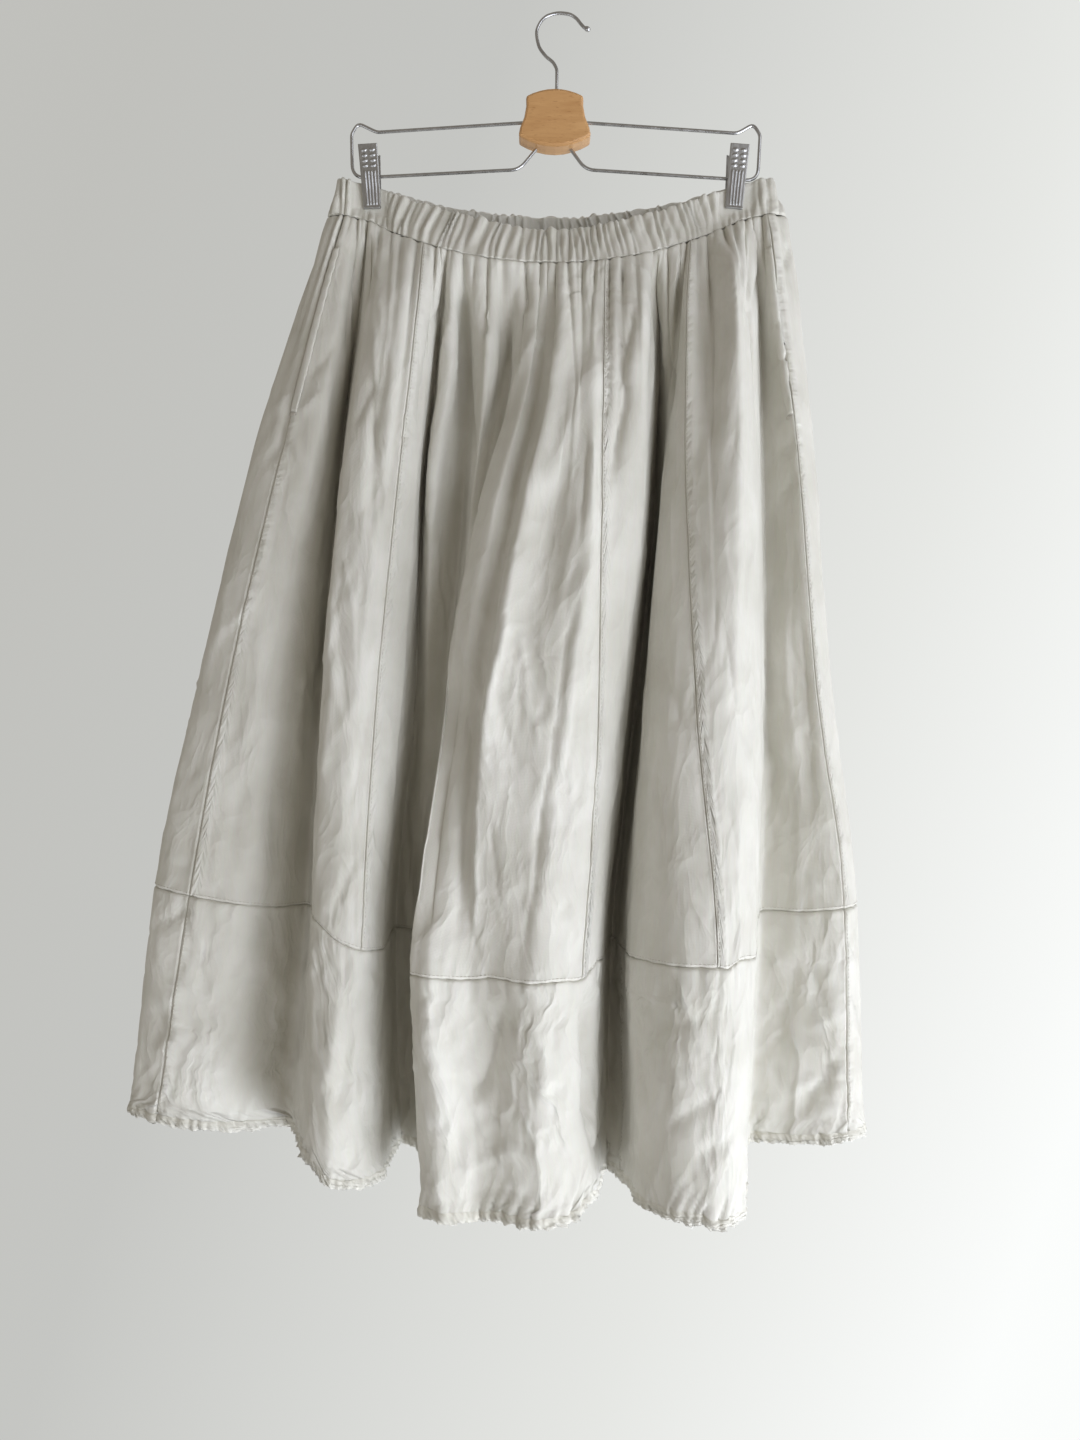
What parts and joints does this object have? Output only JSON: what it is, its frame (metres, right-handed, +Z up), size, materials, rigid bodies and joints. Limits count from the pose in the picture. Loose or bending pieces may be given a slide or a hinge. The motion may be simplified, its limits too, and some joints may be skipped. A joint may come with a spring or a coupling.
{
  "type": "cocoon skirt on clip hanger",
  "caption": "Long cocoon skirt in pale washed cotton with a gathered elastic waist, deep loose folds and a drawn-in ruffled hem, hanging by its waistband from a wire and wood clip hanger",
  "frame": {"origin": "inside top of the hanger's hook, where it rests on a rod or peg", "axes": "+X to the viewer's right, +Y away from the viewer, from the skirt's front to its back, +Z up"},
  "size_m": [0.5954, 0.1775, 0.9599],
  "materials": {
    "cotton": "soft washed cotton, matt and crumpled",
    "wire": "satin plated wire",
    "clip": "dark satin pressed steel",
    "wood": "clear satin lacquer over blond wood"
  },
  "bodies": {
    "root": {"waistband_front": "cotton", "waistband_back": "cotton", "gore_front_left": "cotton", "gore_front_mid_left": "cotton", "gore_front_mid_right": "cotton", "gore_front_right": "cotton", "gore_back_right": "cotton", "gore_back_mid_right": "cotton", "gore_back_mid_left": "cotton", "gore_back_left": "cotton", "hem_band_front_left": "cotton", "hem_band_front_right": "cotton", "hem_band_back_right": "cotton", "hem_band_back_left": "cotton", "hem_frill_front": "cotton", "hem_frill_back": "cotton", "pocket_edge_left": "cotton", "pocket_edge_right": "cotton", "hook_wire": "wire", "frame_wire_left": "wire", "frame_wire_right": "wire", "clip_left_front": "clip", "clip_left_rear": "clip", "clip_left_spring": "clip", "clip_right_front": "clip", "clip_right_rear": "clip", "clip_right_spring": "clip", "hub_block": "wood"}
  },
  "joints": []
}
